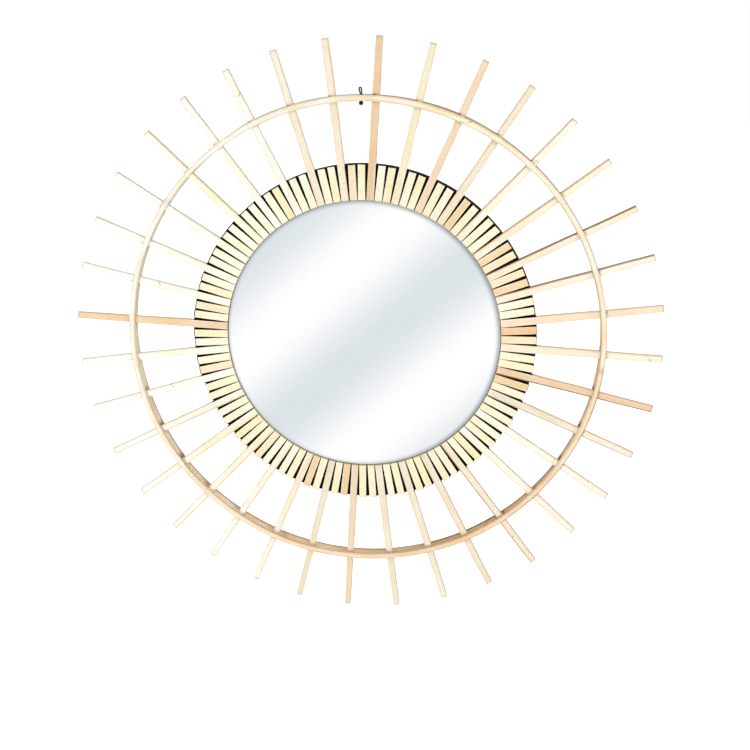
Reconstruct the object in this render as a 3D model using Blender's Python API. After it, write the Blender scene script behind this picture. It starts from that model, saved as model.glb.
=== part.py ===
"""Round wall mirror in a sunburst of rattan sticks, hung on a nail by a wire loop.

Metres, +Z up. The glass faces -Y and the wall is the plane y = 0. The origin is on the wall, level
with the inner top of the wire eye, where a nail carries the mirror. Behind the glass is a black
board. Sticks are glued round it like spokes: long rays, with short slats between them that
close the ring. Two thin hoops, one behind the rays and one in front, hold the rays apart.
"""

import math

import bmesh
import bpy
from mathutils import Matrix, Vector

# How many sticks.
RAY_COUNT = 36
SLATS_PER_RAY = 2
FIRST_RAY_DEG = 3.6

# Glass and ring of sticks.
GLASS_RADIUS = 0.1394
GLASS_THICKNESS = 0.003
GLASS_ARRIS = 0.0005
GLASS_TO_SLATS = 0.0006
SLAT_LENGTH = 0.036
STICK_THICKNESS = 0.006
STICK_CHAMFER = 0.0009
STICK_OVERLAP = 0.00025
STICK_STAGGER = 0.0003
GROUP_GAP = 0.00035

# Rays outside the ring.
RING_TO_HOOP = 0.0613
RAY_PAST_HOOP = 0.0563
RAY_TIP_WIDTH = 0.0066
RAY_TIP_CHAMFER = 0.0007

# Hoops.
HOOP_THICKNESS = 0.0064
HOOP_STEPS = 64
HOOP_SIDES = 8

# Backing board.
BOARD_INSET = 0.0006
BOARD_CHAMFER = 0.0005
DISC_SIDES = 72

# Wire loop.
WIRE_THICKNESS = 0.0012
EYE_WIDTH = 0.0038
EYE_LEG = 0.0034
KNOT_WIDTH = 0.0048
KNOT_HEIGHT = 0.0040
WRAP_STEPS = 7
EYE_STEPS = 8
WIRE_FACETS = 2
KNOT_MERIDIANS = 10
KNOT_PARALLELS = 6

# Gaps between pieces that touch in the real mirror.
CLEARANCE = 0.0003
WALL_GAP = 0.0003

# Edges that turn more than this are shaded sharp.
FLAT_WORK_SHARP_DEG = 30.0
ROUND_WORK_SHARP_DEG = 60.0

# Radii, from the glass outwards.
RING_INNER_RADIUS = GLASS_RADIUS + GLASS_TO_SLATS
RING_OUTER_RADIUS = RING_INNER_RADIUS + SLAT_LENGTH
BOARD_RADIUS = RING_OUTER_RADIUS - BOARD_INSET
HOOP_INNER_RADIUS = RING_OUTER_RADIUS + RING_TO_HOOP
HOOP_RADIUS = HOOP_INNER_RADIUS + HOOP_THICKNESS / 2
RAY_TIP_RADIUS = HOOP_INNER_RADIUS + HOOP_THICKNESS + RAY_PAST_HOOP

# Sticks of one group fill their share of the inner circle, but for the gap to the next group.
GROUP_ANGLE = 2 * math.pi / RAY_COUNT
STICKS_PER_GROUP = SLATS_PER_RAY + 1
GROUP_WIDTH = RING_INNER_RADIUS * GROUP_ANGLE - GROUP_GAP
STICK_WIDTH = (GROUP_WIDTH + SLATS_PER_RAY * STICK_OVERLAP) / STICKS_PER_GROUP
STICK_ANGLE = (STICK_WIDTH - STICK_OVERLAP) / RING_INNER_RADIUS

# Places along Y, from the wall forwards.
REAR_HOOP_Y = -(WALL_GAP + WIRE_THICKNESS + CLEARANCE + HOOP_THICKNESS / 2)
STICK_BACK_Y = REAR_HOOP_Y - HOOP_THICKNESS / 2 - CLEARANCE
STICK_FRONT_Y = STICK_BACK_Y - STICK_THICKNESS
FRONT_HOOP_Y = STICK_FRONT_Y - CLEARANCE - HOOP_THICKNESS / 2
BOARD_FRONT_Y = STICK_BACK_Y + CLEARANCE
GLASS_BACK_Y = BOARD_FRONT_Y - CLEARANCE
GLASS_FRONT_Y = GLASS_BACK_Y - GLASS_THICKNESS

# Wire loop, measured from the middle of the rear hoop where it crosses the top.
WRAP_RADIUS = HOOP_THICKNESS / 2 + CLEARANCE + WIRE_THICKNESS / 2
EYE_RADIUS = EYE_WIDTH / 2
EYE_TOP = WRAP_RADIUS + EYE_LEG + EYE_RADIUS
HUB_Z = -(HOOP_RADIUS + EYE_TOP - WIRE_THICKNESS / 2)

HUB = Vector((0.0, 0.0, HUB_Z))
# A turned shape is made about +Z and then faces the room, along -Y.
FACE_ROOM = Matrix.Rotation(math.radians(90), 4, "X")


def clear_scene():
    """Empties the scene the script is run from."""
    for obj in list(bpy.data.objects):
        bpy.data.objects.remove(obj, do_unlink=True)
    for mesh in list(bpy.data.meshes):
        bpy.data.meshes.remove(mesh)


def make_material(name, color, roughness, metallic=0.0):
    """A Principled material of one colour."""
    material = bpy.data.materials.new(name)
    material.use_nodes = True
    shader = material.node_tree.nodes["Principled BSDF"]
    shader.inputs["Base Color"].default_value = (*color, 1.0)
    shader.inputs["Roughness"].default_value = roughness
    shader.inputs["Metallic"].default_value = metallic
    material.diffuse_color = (*color, 1.0)
    return material


def add_object(name, mesh, material=None):
    """Links a mesh into the scene as an object of that name."""
    obj = bpy.data.objects.new(name, mesh)
    bpy.context.collection.objects.link(obj)
    if material is not None and not mesh.materials:
        mesh.materials.append(material)
    return obj


def mesh_of(name, shape, sharp_deg=FLAT_WORK_SHARP_DEG):
    """Turns a bmesh into a mesh, smooth but for its sharp edges."""
    bmesh.ops.recalc_face_normals(shape, faces=shape.faces)
    mesh = bpy.data.meshes.new(name)
    shape.to_mesh(mesh)
    shape.free()
    mesh.shade_smooth()
    mesh.set_sharp_from_angle(angle=math.radians(sharp_deg))
    return mesh


def make_disc(name, radius, front_y, thickness, chamfer, material):
    """A round plate about the hub, with a small chamfer on both rims."""
    shape = bmesh.new()
    bmesh.ops.create_cone(
        shape,
        cap_ends=True,
        segments=DISC_SIDES,
        radius1=radius,
        radius2=radius,
        depth=thickness,
        matrix=FACE_ROOM,
    )
    caps = [face for face in shape.faces if len(face.verts) == DISC_SIDES]
    rims = [edge for cap in caps for edge in cap.edges]
    bmesh.ops.bevel(shape, geom=rims, offset=chamfer, segments=1, affect="EDGES")
    disc = add_object(name, mesh_of(name, shape), material)
    disc.location = HUB + Vector((0.0, front_y + thickness / 2, 0.0))
    return disc


def make_hoop(name, y, material):
    """A round cane bent into a ring about the hub."""
    shape = bmesh.new()
    profile = []
    reach = HOOP_THICKNESS / 2 / math.cos(math.pi / HOOP_SIDES)
    for side in range(HOOP_SIDES):
        angle = 2 * math.pi * (side + 0.5) / HOOP_SIDES
        outwards = HOOP_RADIUS + reach * math.cos(angle)
        profile.append(shape.verts.new((outwards, reach * math.sin(angle), 0)))
    rim = [shape.edges.new((profile[i - 1], profile[i])) for i in range(HOOP_SIDES)]
    bmesh.ops.spin(
        shape,
        geom=profile + rim,
        cent=(0, 0, 0),
        axis=(0, 1, 0),
        angle=2 * math.pi,
        steps=HOOP_STEPS,
        use_merge=True,
    )
    hoop = add_object(name, mesh_of(name, shape, ROUND_WORK_SHARP_DEG), material)
    hoop.location = HUB + Vector((0.0, y, 0.0))
    return hoop


def stick_section(width, thickness, chamfer):
    """Corners of a rectangle across the stick with its corners cut off, as (sideways, along Y)."""
    half_width = width / 2
    half_thickness = thickness / 2
    corners = []
    for sx, sy in ((1, -1), (1, 1), (-1, 1), (-1, -1)):
        on_side = (sx * half_width, sy * (half_thickness - chamfer))
        on_face = (sx * (half_width - chamfer), sy * half_thickness)
        corners += [on_side, on_face] if sx == sy else [on_face, on_side]
    return corners


def stick_mesh(name, stations):
    """A stick along +Z, lofted through stations of (radius, width, thickness)."""
    shape = bmesh.new()
    loops = []
    middle_y = STICK_BACK_Y - STICK_THICKNESS / 2
    for radius, width, thickness in stations:
        corners = stick_section(width, thickness, STICK_CHAMFER)
        loops.append([shape.verts.new((x, middle_y + y, radius)) for x, y in corners])
    for lower, upper in zip(loops, loops[1:]):
        for i in range(len(lower)):
            shape.faces.new((lower[i - 1], lower[i], upper[i], upper[i - 1]))
    shape.faces.new(loops[0])
    shape.faces.new(loops[-1])
    return mesh_of(name, shape)


def ray_stations():
    """A ray keeps its full width in the ring, then narrows to its tip."""
    tip_width = RAY_TIP_WIDTH - 2 * RAY_TIP_CHAMFER
    tip_thickness = STICK_THICKNESS - 2 * RAY_TIP_CHAMFER
    return [
        (RING_INNER_RADIUS, STICK_WIDTH, STICK_THICKNESS),
        (RING_OUTER_RADIUS, STICK_WIDTH, STICK_THICKNESS),
        (RAY_TIP_RADIUS - RAY_TIP_CHAMFER, RAY_TIP_WIDTH, STICK_THICKNESS),
        (RAY_TIP_RADIUS, tip_width, tip_thickness),
    ]


def slat_stations(place):
    """A short slat, as wide as a ray and cut square, its inner end a little behind its neighbour's."""
    return [
        (RING_INNER_RADIUS + place * STICK_STAGGER, STICK_WIDTH, STICK_THICKNESS),
        (RING_OUTER_RADIUS, STICK_WIDTH, STICK_THICKNESS),
    ]


def helper(name, mesh, turn=0.0):
    """An object that only serves a Boolean, turned clockwise as seen from the room."""
    obj = add_object(name, mesh)
    obj.rotation_euler = (0.0, turn, 0.0)
    obj.hide_render = True
    obj.display_type = "WIRE"
    return obj


def joined(name, base, others):
    """The mesh of base with the others joined on. The helpers are removed."""
    for other in others:
        join = base.modifiers.new(f"join {other.name}", "BOOLEAN")
        join.operation = "UNION"
        join.solver = "EXACT"
        join.object = other
    graph = bpy.context.evaluated_depsgraph_get()
    mesh = bpy.data.meshes.new_from_object(base.evaluated_get(graph))
    mesh.name = name
    for obj in (base, *others):
        bpy.data.objects.remove(obj, do_unlink=True)
    return mesh


def make_stick_groups(material):
    """Every ray with the short slats on its clockwise side, glued where they touch at the glass."""
    ray = helper("ray", stick_mesh("ray", ray_stations()))
    slats = []
    for i in range(1, STICKS_PER_GROUP):
        slat = stick_mesh(f"slat_{i}", slat_stations(i))
        slats.append(helper(f"slat_{i}", slat, i * STICK_ANGLE))
    group_mesh = joined("ray_and_slats", ray, slats)
    group_mesh.set_sharp_from_angle(angle=math.radians(FLAT_WORK_SHARP_DEG))
    group_mesh.materials.clear()
    groups = []
    for i in range(RAY_COUNT):
        group = add_object(f"ray_and_slats_{i + 1:02d}", group_mesh, material)
        group.location = HUB
        group.rotation_euler = (0.0, math.radians(FIRST_RAY_DEG) + i * GROUP_ANGLE, 0.0)
        groups.append(group)
    return groups


def wire_path():
    """Closed path of the wire: up in front of the hoop, over the eye, down behind the hoop."""
    points = []
    for i in range(WRAP_STEPS):
        share = i / WRAP_STEPS
        angle = math.pi * (share - 0.5)
        side = EYE_RADIUS * share
        points.append((side, -WRAP_RADIUS * math.cos(angle), WRAP_RADIUS * math.sin(angle)))
    for i in range(EYE_STEPS + 1):
        angle = math.pi * i / EYE_STEPS
        arch_z = WRAP_RADIUS + EYE_LEG + EYE_RADIUS * math.sin(angle)
        points.append((EYE_RADIUS * math.cos(angle), 0.0, arch_z))
    for i in range(1, WRAP_STEPS):
        share = 1 - i / WRAP_STEPS
        angle = math.pi * (share - 0.5)
        side = -EYE_RADIUS * share
        points.append((side, WRAP_RADIUS * math.cos(angle), WRAP_RADIUS * math.sin(angle)))
    return points


def make_wire_loop(material):
    """The wire round the rear hoop, with its eye above and its twisted knot below."""
    curve = bpy.data.curves.new("wire", "CURVE")
    curve.dimensions = "3D"
    curve.bevel_depth = WIRE_THICKNESS / 2
    curve.bevel_resolution = WIRE_FACETS
    spline = curve.splines.new("POLY")
    path = wire_path()
    spline.points.add(len(path) - 1)
    for point, place in zip(spline.points, path):
        point.co = (*place, 1.0)
    spline.use_cyclic_u = True
    curve_object = bpy.data.objects.new("wire_guide", curve)
    bpy.context.collection.objects.link(curve_object)
    graph = bpy.context.evaluated_depsgraph_get()
    wire_mesh = bpy.data.meshes.new_from_object(curve_object.evaluated_get(graph))
    bpy.data.objects.remove(curve_object, do_unlink=True)

    shape = bmesh.new()
    bmesh.ops.create_uvsphere(
        shape, u_segments=KNOT_MERIDIANS, v_segments=KNOT_PARALLELS, radius=0.5
    )
    bmesh.ops.scale(shape, vec=(KNOT_WIDTH, KNOT_WIDTH, KNOT_HEIGHT), verts=shape.verts)
    knot_z = -(HOOP_THICKNESS / 2 + CLEARANCE + KNOT_HEIGHT / 2)
    bmesh.ops.translate(shape, vec=(0.0, 0.0, knot_z), verts=shape.verts)
    knot_mesh = mesh_of("knot", shape)

    mesh = joined("hanging_loop", helper("wire", wire_mesh), [helper("knot", knot_mesh)])
    mesh.shade_smooth()
    mesh.set_sharp_from_angle(angle=math.radians(ROUND_WORK_SHARP_DEG))
    mesh.materials.clear()
    loop = add_object("hanging_loop", mesh, material)
    loop.location = HUB + Vector((0.0, REAR_HOOP_Y, HOOP_RADIUS))
    return loop


def main():
    clear_scene()
    pale_rattan = make_material("pale_rattan", (0.83, 0.72, 0.50), 0.55)
    warm_rattan = make_material("warm_rattan", (0.80, 0.62, 0.42), 0.5)
    brown_rattan = make_material("brown_rattan", (0.66, 0.47, 0.30), 0.55)
    black_board = make_material("black_board", (0.012, 0.011, 0.010), 0.6)
    silvered_glass = make_material("silvered_glass", (0.90, 0.92, 0.93), 0.02, 1.0)
    dark_wire = make_material("dark_wire", (0.03, 0.03, 0.032), 0.45, 0.9)

    board_thickness = -BOARD_FRONT_Y
    make_disc("backing_board", BOARD_RADIUS, BOARD_FRONT_Y, board_thickness, BOARD_CHAMFER, black_board)
    make_disc("mirror_glass", GLASS_RADIUS, GLASS_FRONT_Y, GLASS_THICKNESS, GLASS_ARRIS, silvered_glass)
    make_hoop("rear_hoop", REAR_HOOP_Y, brown_rattan)
    make_hoop("front_hoop", FRONT_HOOP_Y, warm_rattan)
    make_stick_groups(pale_rattan)
    make_wire_loop(dark_wire)


main()
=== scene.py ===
"""Looks of the sunburst wall mirror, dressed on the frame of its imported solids.

A round silvered glass lies on a black board. Flat rattan sticks stand round it like spokes, long rays
with two short slats between them, and two bent rattan canes, one in front and one behind, hold
the rays apart. A twisted wire eye on the rear cane hangs the whole on a nail.
"""

import logging
import math
from collections.abc import Callable, Iterator
from contextlib import contextmanager
from dataclasses import dataclass, field
from enum import Enum, IntEnum
from functools import cache

import bmesh
import bpy
import numpy as np
from mathutils import Matrix, Vector


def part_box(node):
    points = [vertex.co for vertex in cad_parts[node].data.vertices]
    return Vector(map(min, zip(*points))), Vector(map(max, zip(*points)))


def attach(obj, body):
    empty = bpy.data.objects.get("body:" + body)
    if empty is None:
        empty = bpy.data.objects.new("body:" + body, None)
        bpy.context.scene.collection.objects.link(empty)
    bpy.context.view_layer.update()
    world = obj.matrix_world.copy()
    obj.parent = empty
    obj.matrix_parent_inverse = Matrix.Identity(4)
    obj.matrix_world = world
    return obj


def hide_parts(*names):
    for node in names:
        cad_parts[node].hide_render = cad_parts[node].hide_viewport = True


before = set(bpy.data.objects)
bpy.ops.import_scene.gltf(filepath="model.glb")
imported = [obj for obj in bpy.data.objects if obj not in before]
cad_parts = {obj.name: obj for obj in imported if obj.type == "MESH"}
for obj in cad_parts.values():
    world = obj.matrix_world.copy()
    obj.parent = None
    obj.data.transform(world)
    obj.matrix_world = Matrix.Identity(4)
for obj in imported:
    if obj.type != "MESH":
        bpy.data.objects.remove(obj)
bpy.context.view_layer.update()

Array = np.ndarray
Colour = tuple[float, float, float]
Dice = np.random.Generator
Edge = bmesh.types.BMEdge
Material = bpy.types.Material
Mesh = bpy.types.Mesh
Piece = bpy.types.Object
Socket = bpy.types.NodeSocket
Spot = tuple[float, float, float]
Stops = tuple[tuple[float, float], ...]
Value = Socket | float | Colour | Spot

LOG = logging.getLogger("mirror")
MM = 0.001
FULL_TURN = 2 * math.pi
WHITE = (1.0, 1.0, 1.0)
GRAIN_MAP = "Grain"
TONE_NAME = "Tone"
PLACE_NAME = "Place"
TIP_NAME = "Tip"
MARKS_NAME = "Marks"
ATTRIBUTE_KINDS = {1: ("FLOAT", "value"), 3: ("FLOAT_VECTOR", "vector"), 4: ("FLOAT_COLOR", "color")}


def srgb(red: int, green: int, blue: int) -> Colour:
    """A colour as seen on a screen, 0 to 255, as the linear values that shaders use."""
    shares = (red / 255, green / 255, blue / 255)
    return tuple(s / 12.92 if s <= 0.04045 else ((s + 0.055) / 1.055) ** 2.4 for s in shares)


class Tone(Enum):
    """Colours that split rattan comes in, before its grain."""

    WASHED = srgb(255, 252, 243)
    PALE = srgb(254, 249, 229)
    CREAM = srgb(253, 245, 214)
    BLUSH = srgb(249, 238, 220)
    YELLOW = srgb(253, 241, 200)
    PEACH = srgb(246, 226, 202)
    TAN = srgb(239, 210, 177)
    DULL = srgb(239, 210, 180)
    ORANGE = srgb(240, 199, 156)
    HONEY = srgb(241, 214, 172)
    SAND = srgb(249, 232, 201)


class Part(Enum):
    """What is selected in edit mode."""

    EDGE = "edges"
    FACE = "faces"


class Coat(IntEnum):
    """A stick's finishes, in the order of its material slots."""

    WOOD = 0
    SAWN = 1
    PAINT = 2


@dataclass(frozen=True)
class Layout:
    """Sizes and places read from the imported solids, in metres."""

    hub: Vector
    glass_radius: float
    glass_front: float
    glass_back: float
    board_radius: float
    board_front: float
    board_back: float
    hoop_radius: float
    hoop_thickness: float
    front_hoop_y: float
    rear_hoop_y: float
    stick_front: float
    stick_back: float

    @classmethod
    def from_frame(cls) -> "Layout":
        """Reads the layout from the frame's nodes.

        Returns:
            The layout of this mirror.
        """
        glass_low, glass_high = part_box("mirror_glass")
        board_low, board_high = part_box("backing_board")
        front_low, front_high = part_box("front_hoop")
        rear_low, rear_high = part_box("rear_hoop")
        stick_low, stick_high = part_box("ray_and_slats_01")
        thickness = front_high.y - front_low.y
        middle = (glass_low + glass_high) / 2
        return cls(
            hub=Vector((middle.x, 0.0, middle.z)),
            glass_radius=(glass_high.x - glass_low.x) / 2,
            glass_front=glass_low.y,
            glass_back=glass_high.y,
            board_radius=(board_high.x - board_low.x) / 2,
            board_front=board_low.y,
            board_back=board_high.y,
            hoop_radius=(front_high.x - front_low.x - thickness) / 2,
            hoop_thickness=thickness,
            front_hoop_y=(front_low.y + front_high.y) / 2,
            rear_hoop_y=(rear_low.y + rear_high.y) / 2,
            stick_front=stick_low.y,
            stick_back=stick_high.y,
        )


class Tree:
    """Short forms for building one node tree."""

    def __init__(self, tree: bpy.types.NodeTree) -> None:
        """Keeps the tree that the nodes go into."""
        self.tree = tree

    def node(self, kind: str, *values: Value, **settings: object) -> bpy.types.Node:
        """Adds a node.

        Args:
            kind: The node's type name, without the leading ShaderNode.
            *values: What its first inputs get, in order.
            **settings: Properties to set on it.

        Returns:
            The new node.
        """
        made = self.tree.nodes.new(f"ShaderNode{kind}")
        for name, value in settings.items():
            setattr(made, name, value)
        for value, socket in zip(values, made.inputs):
            self.put(value, socket)
        return made

    def put(self, value: Value, socket: Socket) -> None:
        """Feeds a socket from another socket, or sets it to a plain value.

        Args:
            value: What goes in.
            socket: Where it goes.
        """
        if isinstance(value, Socket):
            self.tree.links.new(value, socket)
        elif socket.type == "RGBA":
            socket.default_value = (*value, 1.0)
        else:
            socket.default_value = value

    def attribute(self, name: str) -> bpy.types.NodeOutputs:
        """The outputs of a mesh attribute."""
        return self.node("Attribute", attribute_name=name).outputs

    def place(self) -> Socket:
        """Object coordinates."""
        return self.node("TexCoord").outputs["Object"]

    def split(self, vector: Value) -> bpy.types.NodeOutputs:
        """A vector's X, Y and Z."""
        return self.node("SeparateXYZ", vector).outputs

    def math(self, operation: str, *values: Value) -> Socket:
        """The result of an operation on plain values or sockets."""
        return self.node("Math", *values, operation=operation).outputs[0]

    def scaled(self, value: Value, factor: Value, plus: Value) -> Socket:
        """A value times a factor, plus another value."""
        return self.math("MULTIPLY_ADD", value, factor, plus)

    def times(self, product: Value, *factors: Value) -> Value:
        """The product of two or more values.

        Args:
            product: The first value.
            *factors: The others.

        Returns:
            Their product.
        """
        for factor in factors:
            product = self.math("MULTIPLY", product, factor)
        return product

    def ramp(self, value: Value, low: float, high: float) -> Socket:
        """A smooth step from 0 at low to 1 at high. Low may be the larger of the two."""
        span = (low, high, 0.0, 1.0) if low < high else (high, low, 1.0, 0.0)
        return self.node("MapRange", value, *span, interpolation_type="SMOOTHSTEP").outputs[0]

    def blend(self, factor: Value, first: Value, second: Value, mode: str = "MIX") -> Socket:
        """Lays one colour on another.

        Args:
            factor: How much of the second colour shows.
            first: The colour below.
            second: The colour above.
            mode: MIX, or MULTIPLY to stain the colour below.

        Returns:
            The blended colour.
        """
        made = self.node("Mix", factor, data_type="RGBA", blend_type=mode)
        self.put(first, made.inputs[6])
        self.put(second, made.inputs[7])
        return made.outputs[2]

    def layers(self, colour: Value, *coats: tuple) -> Value:
        """Lays coats on a colour, one after the other.

        Args:
            colour: The ground.
            *coats: For each coat its factor, its colour and perhaps the mode MULTIPLY.

        Returns:
            The colour with all coats on it.
        """
        for factor, *coat in coats:
            colour = self.blend(factor, colour, *coat)
        return colour

    def noise(self, vector: Value, scale: float = 1.0, detail: float = 2.0) -> Socket:
        """Cloudy values round a half.

        Args:
            vector: Where the clouds lie.
            scale: How many there are on a unit of it.
            detail: How finely they are broken up.

        Returns:
            The values.
        """
        made = self.node("TexNoise", vector)
        self.put(scale, made.inputs["Scale"])
        self.put(detail, made.inputs["Detail"])
        return made.outputs[0]

    def cells(self, vector: Value, scale: float, dimensions: str) -> bpy.types.NodeOutputs:
        """Scattered cells.

        Args:
            vector: Where the cells lie.
            scale: How many there are on a unit of it.
            dimensions: 2D or 3D.

        Returns:
            The outputs, among them Distance and Color.
        """
        made = self.node("TexVoronoi", vector, voronoi_dimensions=dimensions)
        self.put(scale, made.inputs["Scale"])
        return made.outputs

    def bump(self, height: Value, depth: float, strength: float) -> Socket:
        """A normal that lets a height raise the surface.

        Args:
            height: The height, 0 to 1.
            depth: How high 1 is, in metres.
            strength: How much of it shows.

        Returns:
            The normal.
        """
        made = self.node("Bump", strength, depth)
        self.put(height, made.inputs["Height"])
        return made.outputs[0]

    def from_hub(self, hub: Vector) -> tuple[Socket, Socket, Socket]:
        """Places counted from the hub.

        Args:
            hub: The middle of the mirror.

        Returns:
            The place from the hub, the same without its depth, and how far it is from the hub's axis.
        """
        spot = self.node("VectorMath", self.place(), tuple(hub), operation="SUBTRACT").outputs[0]
        flat = self.node("VectorMath", spot, (1.0, 0.0, 1.0), operation="MULTIPLY").outputs[0]
        return spot, flat, self.node("VectorMath", flat, operation="LENGTH").outputs["Value"]

    def stretched(self, vector: Value, across: Value, along: Value) -> Socket:
        """A vector in cells of the given width and length, both in metres."""
        cell = self.node("CombineXYZ", across, along, 1.0).outputs[0]
        return self.node("VectorMath", vector, cell, operation="DIVIDE").outputs[0]


@cache
def rattan_grain() -> bpy.types.ShaderNodeTree:
    """Fibres, pores and slow changes of colour along a piece of rattan, made once and shared.

    Returns:
        The node group. Its Vector runs across the cane in X and along it in Y, in metres.
    """
    group = bpy.data.node_groups.new("rattan_grain", "ShaderNodeTree")
    interface = group.interface
    interface.new_socket("Vector", in_out="INPUT", socket_type="NodeSocketVector")
    for name, value in (("Fibre Width", 0.4 * MM), ("Fibre Length", 20 * MM), ("Pore Share", 0.35)):
        interface.new_socket(name, in_out="INPUT", socket_type="NodeSocketFloat").default_value = value
    for name in ("Fibre", "Pore", "Drift", "Height"):
        interface.new_socket(name, in_out="OUTPUT", socket_type="NodeSocketFloat")
    tree = Tree(group)
    way, fibre_width, fibre_length, pore_share = list(group.nodes.new("NodeGroupInput").outputs)[:4]
    fibre = tree.ramp(tree.noise(tree.stretched(way, fibre_width, fibre_length), detail=3.0), 0.30, 0.70)
    pores = tree.cells(tree.stretched(way, 0.9 * MM, 3.2 * MM), 1.0, "2D")
    drawn = tree.node("SeparateColor", pores["Color"]).outputs[0]
    is_open = tree.math("LESS_THAN", drawn, pore_share)
    pore = tree.times(tree.ramp(pores["Distance"], 0.34, 0.12), is_open)
    drift = tree.ramp(tree.noise(tree.stretched(way, 12 * MM, 35 * MM), detail=1.0), 0.32, 0.68)
    height = tree.math("SUBTRACT", tree.times(fibre, 0.4), pore)
    result = group.nodes.new("NodeGroupOutput").inputs
    for name, value in (("Fibre", fibre), ("Pore", pore), ("Drift", drift), ("Height", height)):
        tree.put(value, result[name])
    return group


@dataclass(frozen=True, kw_only=True)
class Finish:
    """What every finish shares: a named material with one Principled shader."""

    name: str
    roughness: float = 0.5

    def surface(self, tree: Tree) -> dict[str, Value]:
        """The values for the shader's sockets, by their names. The roughness may be left out."""
        raise NotImplementedError

    def build(self) -> Material:
        """Makes the material.

        Returns:
            The material, dressed as surface says.
        """
        material = bpy.data.materials.new(self.name)
        material.use_nodes = True
        shader = material.node_tree.nodes["Principled BSDF"]
        tree = Tree(material.node_tree)
        for name, value in {"Roughness": self.roughness, **self.surface(tree)}.items():
            tree.put(value, shader.inputs[name])
        return material


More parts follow.
